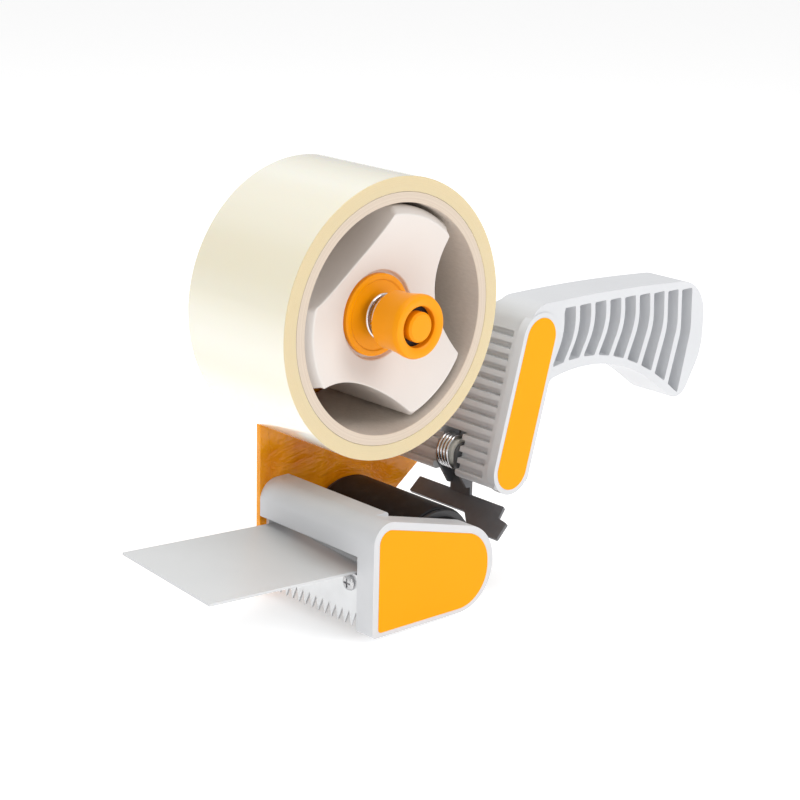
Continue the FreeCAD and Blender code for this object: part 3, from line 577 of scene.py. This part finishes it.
def make_roller():
    """Rubber sleeve between the flanges of a core that is hollowed at both ends."""
    centre, radius, near, far = place_of("roller_sleeve")
    inner = radius - 3.5 * MM
    sleeve = turned("rubber_sleeve", tube_rings(inner, radius, near, far), centre)
    round_edges(sleeve, 0.6 * MM)
    settle(sleeve)
    stand_for(sleeve, "roller_sleeve")
    centre, flange, low, high = place_of("roller_core")
    bore, boss, lip = 4.06 * MM, 7.5 * MM, flange - 2.2 * MM
    low_floor, high_floor = low + 1.2 * MM, high - 1.2 * MM
    rings = [(bore, low), (boss, low), (boss, low_floor), (lip, low_floor), (lip, low), (flange, low),
             (flange, near), (inner, near), (inner, far), (flange, far), (flange, high), (lip, high),
             (lip, high_floor), (boss, high_floor), (boss, high), (bore, high), (bore, low)]
    core = turned("roller_hub", rings, centre, 96)
    round_edges(core, 0.25 * MM, 2)
    settle(core)
    stand_for(core, "roller_core")


# ---------------------------------------------------------------- springs

WIRE_SIDES = 16


def coil(name, radius, wire, near, turns, rise, centre=(0, 0, 0)):
    """Round wire wound about Y, starting straight behind the axis."""
    deselect_all()
    steps = int(56 * turns)
    bpy.ops.mesh.primitive_circle_add(vertices=WIRE_SIDES, radius=wire, location=(radius, 0, 0))
    piece = bpy.context.object
    piece.name = name
    bpy.ops.object.transform_apply(location=True)
    apply_modifier(piece, "SCREW", axis="Y", angle=turns * math.tau, screw_offset=rise, steps=steps,
                   render_steps=steps, use_merge_vertices=False)
    bpy.ops.object.mode_set(mode="EDIT")
    bpy.ops.mesh.select_all(action="SELECT")
    bpy.ops.mesh.fill_holes(sides=WIRE_SIDES)
    bpy.ops.object.mode_set(mode="OBJECT")
    piece.location = (centre[0], near, centre[2])
    settle(piece, 60)
    return piece


def wire_leg(name, place, length, wire):
    """Straight end of a spring, standing up from its place, with a rounded tip at each end."""
    deselect_all()
    bpy.ops.mesh.primitive_cylinder_add(vertices=WIRE_SIDES, radius=wire, depth=length,
                                        location=(place[0], place[1], place[2] + length / 2))
    leg = bpy.context.object
    leg.name = name
    round_edges(leg, wire * 0.6)
    settle(leg, 60)
    return leg


def make_brake_spring():
    """Coil that the knob squeezes against the washer."""
    wire = 0.65 * MM
    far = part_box("brake_washer")[0].y
    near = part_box("brake_knob")[1].y
    brake = coil("brake_coil", 7.2 * MM, wire, near + wire, 2.2, far - near - 2 * wire)
    finish_piece(brake, None, "spring_steel", FINISH["spring_steel"], "brake_spring")
    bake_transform(brake)


def make_stop_spring():
    """Coil round the stop's hinge pin, a leg up to the moulding and a leg that moves with the plate."""
    wire, radius, reach = 0.55 * MM, 5.9 * MM, 2.95 * MM
    roof_length, foot_length = 7.7 * MM, 12 * MM
    pin = place_of("hinge_pin")[0]
    torsion = coil("stop_coil", radius, wire, -reach, 4, 2 * reach, pin)
    finish_piece(torsion, "frame", "spring_steel", FINISH["spring_steel"], "torsion_spring")
    roof = wire_leg("stop_coil_roof_leg", (pin.x + radius, reach, pin.z), roof_length, wire)
    finish_piece(roof, "frame", "spring_steel", FINISH["spring_steel"])
    foot_place = (pin.x + radius, -reach, pin.z - foot_length)
    foot = wire_leg("stop_coil_plate_leg", foot_place, foot_length, wire)
    finish_piece(foot, "stop", "spring_steel", FINISH["spring_steel"])


# ---------------------------------------------------------------- screws

def cross_head(name, radius, height, shank, reach):
    """Screw pointing along +Y with its domed head's top at y = 0 and a cross recess in it."""
    rings = [(0, 0), (radius * 0.6, 0.08 * height), (radius * 0.92, 0.4 * height), (radius, 0.65 * height),
             (radius, height), (shank, height), (shank, height + reach), (0, height + reach)]
    screw = turned(name, rings, sides=48)
    for turn in (0, math.pi / 2):
        deselect_all()
        bpy.ops.mesh.primitive_cube_add(size=1, rotation=(0, turn, 0))
        bar = bpy.context.object
        bar.dimensions = (radius * 1.15, 1.1 * height, radius * 0.26)
        bpy.ops.object.transform_apply(rotation=True, scale=True)
        apply_modifier(screw, "BOOLEAN", object=bar, operation="DIFFERENCE", solver="EXACT")
        bpy.data.objects.remove(bar)
    return screw


def solid_boxes(node):
    """Low and high corners of each loose solid in a node's mesh."""
    cage = bmesh.new()
    cage.from_mesh(NODES[node].data)
    bmesh.ops.remove_doubles(cage, verts=cage.verts, dist=CAD_MERGE)
    left = set(cage.verts)
    boxes = []
    while left:
        island, edge = set(), [left.pop()]
        while edge:
            point = edge.pop()
            island.add(point)
            for link in point.link_edges:
                other = link.other_vert(point)
                if other in left:
                    left.discard(other)
                    edge.append(other)
        boxes.append([[pick(v.co[i] for v in island) for i in range(3)] for pick in (min, max)])
    cage.free()
    return boxes


def place_screws(node, head, height, shank, reach, axis, facing):
    """One cross-head screw at each solid of a node.

    A screw along X (axis 0) has its top at the low end and one along Y (axis 1) at the high end. facing turns
    it from +Y.
    """
    places = []
    for low, high in solid_boxes(node):
        middle = [(a + b) / 2 for a, b in zip(low, high)]
        top = low[0] if axis == 0 else high[1]
        places.append((*middle[:axis], top, *middle[axis + 1:]))
    for i, place in enumerate(sorted(places)):
        screw = cross_head(f"{node}_{i}", head, height, shank, reach)
        screw.rotation_euler = (0, 0, facing)
        screw.location = place
        settle(screw, 32)
        stand = [node] if i == 0 else []
        finish_piece(screw, BODY_OF[node], "screw_steel", FINISH["screw_steel"], *stand)


def make_screws():
    place_screws("blade_screws", 2.8 * MM, 1.6 * MM, 1.5 * MM, 3.9 * MM, 0, -math.pi / 2)
    place_screws("riser_screws", 3.55 * MM, 1.2 * MM, 1.95 * MM, 10.5 * MM, 1, math.pi)
    place_screws("housing_screws", 2.75 * MM, 1.2 * MM, 1.45 * MM, 10.5 * MM, 1, math.pi)


dress_frame_nodes()
make_mouldings()
make_hub()
make_brake_spring()
make_stop_spring()
make_screws()
make_tape()
make_knob()
make_cap()
make_washer()
make_roller()


# ---------------------------------------------------------------- studio

CAMERA_SWING, CAMERA_HEIGHT, CAMERA_ROLL = (math.radians(turn) for turn in (-43.587, 17.037, 1.401))
CAMERA_TARGET = Vector((25.796, 0, -37.528)) * MM
CAMERA_DISTANCE = 0.686341
FLOOR_GAP = 0.0002


def set_up_camera():
    """From the open side, ahead of the blade and above it, with a slight roll."""
    swing, height = CAMERA_SWING, CAMERA_HEIGHT
    back = Vector((math.sin(swing) * math.cos(height), -math.cos(swing) * math.cos(height), math.sin(height)))
    right = Vector((0, 0, 1)).cross(back).normalized()
    up = back.cross(right)
    side = math.cos(CAMERA_ROLL) * right + math.sin(CAMERA_ROLL) * up
    top = math.cos(CAMERA_ROLL) * up - math.sin(CAMERA_ROLL) * right
    lens = bpy.data.cameras.new("camera")
    lens.lens = 90
    lens.sensor_width = 36
    lens.clip_start = 0.01
    camera = bpy.data.objects.new("camera", lens)
    camera.matrix_world = Matrix.Translation(CAMERA_TARGET + back * CAMERA_DISTANCE) @ Matrix(
        ((side.x, top.x, back.x), (side.y, top.y, back.y), (side.z, top.z, back.z))).to_4x4()
    bpy.context.scene.collection.objects.link(camera)
    bpy.context.scene.camera = camera


def add_softbox(name, place, size, power):
    """A rectangular lamp that points at the middle of the dispenser."""
    lamp = bpy.data.lights.new(name, "AREA")
    lamp.shape = "RECTANGLE"
    lamp.size, lamp.size_y = size
    lamp.energy = power
    box = bpy.data.objects.new(name, lamp)
    box.location = place
    box.rotation_euler = (Vector((0.03, 0, -0.03)) - Vector(place)).to_track_quat("-Z", "Y").to_euler()
    bpy.context.scene.collection.objects.link(box)


def set_up_studio():
    deselect_all()
    bpy.ops.mesh.primitive_plane_add(size=12, location=(0, 0, cad_box[0][2] - FLOOR_GAP))
    floor = bpy.context.object
    floor.name = "floor"
    paper = Finish("studio_paper", (0.92, 0.92, 0.92), 0.7, Specular_IOR_Level=0.1,
                   Emission_Color=(1, 1, 1, 1), Emission_Strength=0.4)
    paper.set(Roughness=0.62 + 0.1 * paper.noise(40, 3))
    floor.data.materials.append(paper.material)
    world = bpy.data.worlds.new("studio")
    world.use_nodes = True
    background = world.node_tree.nodes["Background"].inputs
    background["Color"].default_value = (1, 1, 1, 1)
    background["Strength"].default_value = 0.58
    bpy.context.scene.world = world
    add_softbox("key", (0.35, -0.75, 0.55), (0.5, 0.5), 3.0)
    add_softbox("top", (-0.05, 0.1, 0.9), (0.7, 0.7), 3.6)
    add_softbox("front", (-0.85, -0.35, 0.15), (0.25, 0.8), 0.7)
    bpy.context.scene.view_settings.view_transform = "Standard"


set_up_camera()
set_up_studio()
